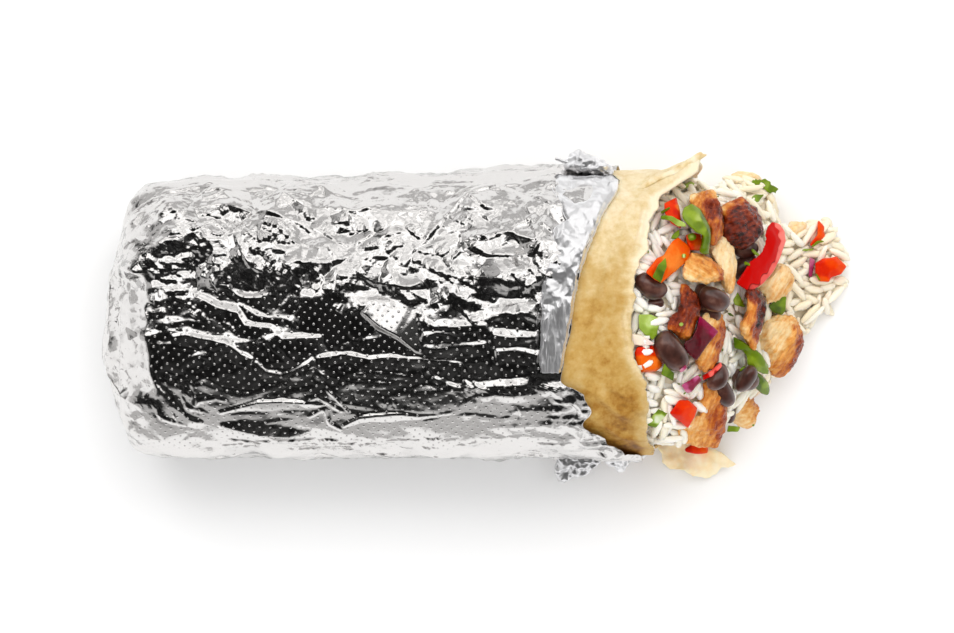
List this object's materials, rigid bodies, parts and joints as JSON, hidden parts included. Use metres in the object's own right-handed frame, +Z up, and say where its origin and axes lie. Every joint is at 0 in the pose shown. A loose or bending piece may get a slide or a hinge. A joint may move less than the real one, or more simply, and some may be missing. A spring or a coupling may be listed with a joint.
{
  "type": "burrito",
  "caption": "Foil-wrapped burrito lying on its side, opened at one end, with rice, grilled chicken, beans, peppers, tomato and onion spilling out of its tortilla.",
  "frame": {"origin": "middle of the whole part's bounding box in plan, on the surface it lies on", "axes": "+X along the burrito towards its open end, +Z up, +Y to the side on which the torn edge stands up"},
  "size_m": [0.1994, 0.0858, 0.0632],
  "materials": {
    "foil": "crumpled thin foil, bright, embossed with fine dots",
    "tortilla": "soft flour tortilla, matt, blotchy pale tan",
    "rice": "cooked long-grain white rice, moist satin",
    "chicken": "grilled chicken, fibrous, browned and charred edges",
    "bean": "cooked black bean, wet gloss",
    "tomato": "diced raw tomato, wet",
    "pepper_red": "cooked red pepper, glossy",
    "pepper_green": "green pepper, glossy",
    "onion": "red onion, glossy"
  },
  "bodies": {
    "root": {"bean_a": "bean", "bean_b": "bean", "bean_c": "bean", "bean_d": "bean", "bean_e": "bean", "bean_f": "bean", "chicken_a": "chicken", "chicken_b": "chicken", "chicken_c": "chicken", "chicken_d": "chicken", "chicken_e": "chicken", "chicken_f": "chicken", "chicken_g": "chicken", "chicken_h": "chicken", "chicken_i": "chicken", "chicken_j": "chicken", "chicken_k": "chicken", "chicken_l": "chicken", "chicken_m": "chicken", "foil_wrap": "foil", "onion_red_a": "onion", "onion_red_b": "onion", "pepper_green_a": "pepper_green", "pepper_green_b": "pepper_green", "pepper_green_curl": "pepper_green", "pepper_red_strip": "pepper_red", "rice": "rice", "tomato_dice_a": "tomato", "tomato_dice_b": "tomato", "tomato_dice_c": "tomato", "tomato_dice_d": "tomato", "tomato_dice_e": "tomato", "tomato_slab": "tomato", "tomato_sliver": "tomato", "tomato_wedge": "tomato", "tortilla": "tortilla"}
  },
  "joints": []
}
